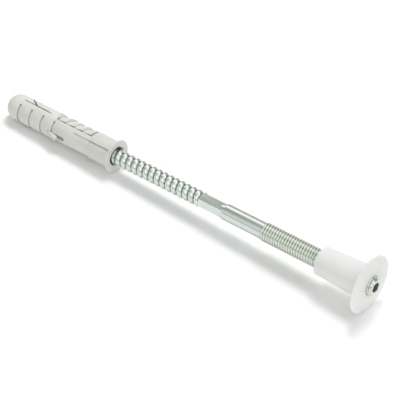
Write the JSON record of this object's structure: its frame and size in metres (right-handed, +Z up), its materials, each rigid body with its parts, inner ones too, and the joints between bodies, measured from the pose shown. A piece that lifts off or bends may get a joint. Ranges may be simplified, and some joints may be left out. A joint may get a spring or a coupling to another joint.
{
  "type": "wall fixing set",
  "caption": "Screw-in wall fixing: split nylon plug with saw teeth and locking tongues, zinc-plated hanger bolt with wood thread, hex grip and machine thread, flanged white plastic sleeve nut.",
  "frame": {"origin": "on the common axis of plug, bolt and nut, at the wall face where the underside of the plug's rim seats", "axes": "+X out of the wall along the axis, towards the flange; +Z up; the plug's slit plane is upright, its legs open to -Y and +Y"},
  "size_m": [0.1913, 0.025, 0.025],
  "materials": {
    "grey_nylon": "moulded, satin",
    "zinc_steel": "bright zinc plated, clear passivated",
    "white_plastic": "moulded, semi-gloss"
  },
  "bodies": {
    "plug": {"plug_sleeve": "grey_nylon"},
    "leg_near": {"expansion_leg_near": "grey_nylon"},
    "leg_far": {"expansion_leg_far": "grey_nylon"},
    "tongue_near": {"locking_tongue_near": "grey_nylon"},
    "tongue_far": {"locking_tongue_far": "grey_nylon"},
    "bolt": {"hanger_bolt": "zinc_steel"},
    "nut": {"flange_nut": "white_plastic"}
  },
  "joints": [
    {"name": "bolt_drive", "type": "slide", "parent": "plug", "child": "bolt", "axis": [-1, 0, 0], "range_m": [-0.009, 0.0435]},
    {"name": "nut_travel", "type": "slide", "parent": "bolt", "child": "nut", "axis": [1, 0, 0], "range_m": [-0.0265, 0.03]},
    {"name": "leg_near_spread", "type": "hinge", "parent": "plug", "child": "leg_near", "pos_m": [-0.0112, -0.0049, 0], "axis": [0, 0, 1], "range_deg": [-0.4, 1.65]},
    {"name": "leg_far_spread", "type": "hinge", "parent": "plug", "child": "leg_far", "pos_m": [-0.0112, 0.0049, 0], "axis": [0, 0, -1], "range_deg": [-0.4, 1.65]},
    {"name": "tongue_near_fold", "type": "hinge", "parent": "leg_near", "child": "tongue_near", "pos_m": [-0.0334, -0.0051, 0], "axis": [0, 0, 1], "range_deg": [0, 20], "stiffness_Nm_per_rad": 0.05},
    {"name": "tongue_far_fold", "type": "hinge", "parent": "leg_far", "child": "tongue_far", "pos_m": [-0.0334, 0.0051, 0], "axis": [0, 0, -1], "range_deg": [0, 20], "stiffness_Nm_per_rad": 0.05}
  ],
  "couplings": [
    {"joint": "leg_near_spread", "follows": "bolt_drive", "rad_per_m": 0.6377},
    {"joint": "leg_far_spread", "follows": "bolt_drive", "rad_per_m": 0.6377}
  ]
}
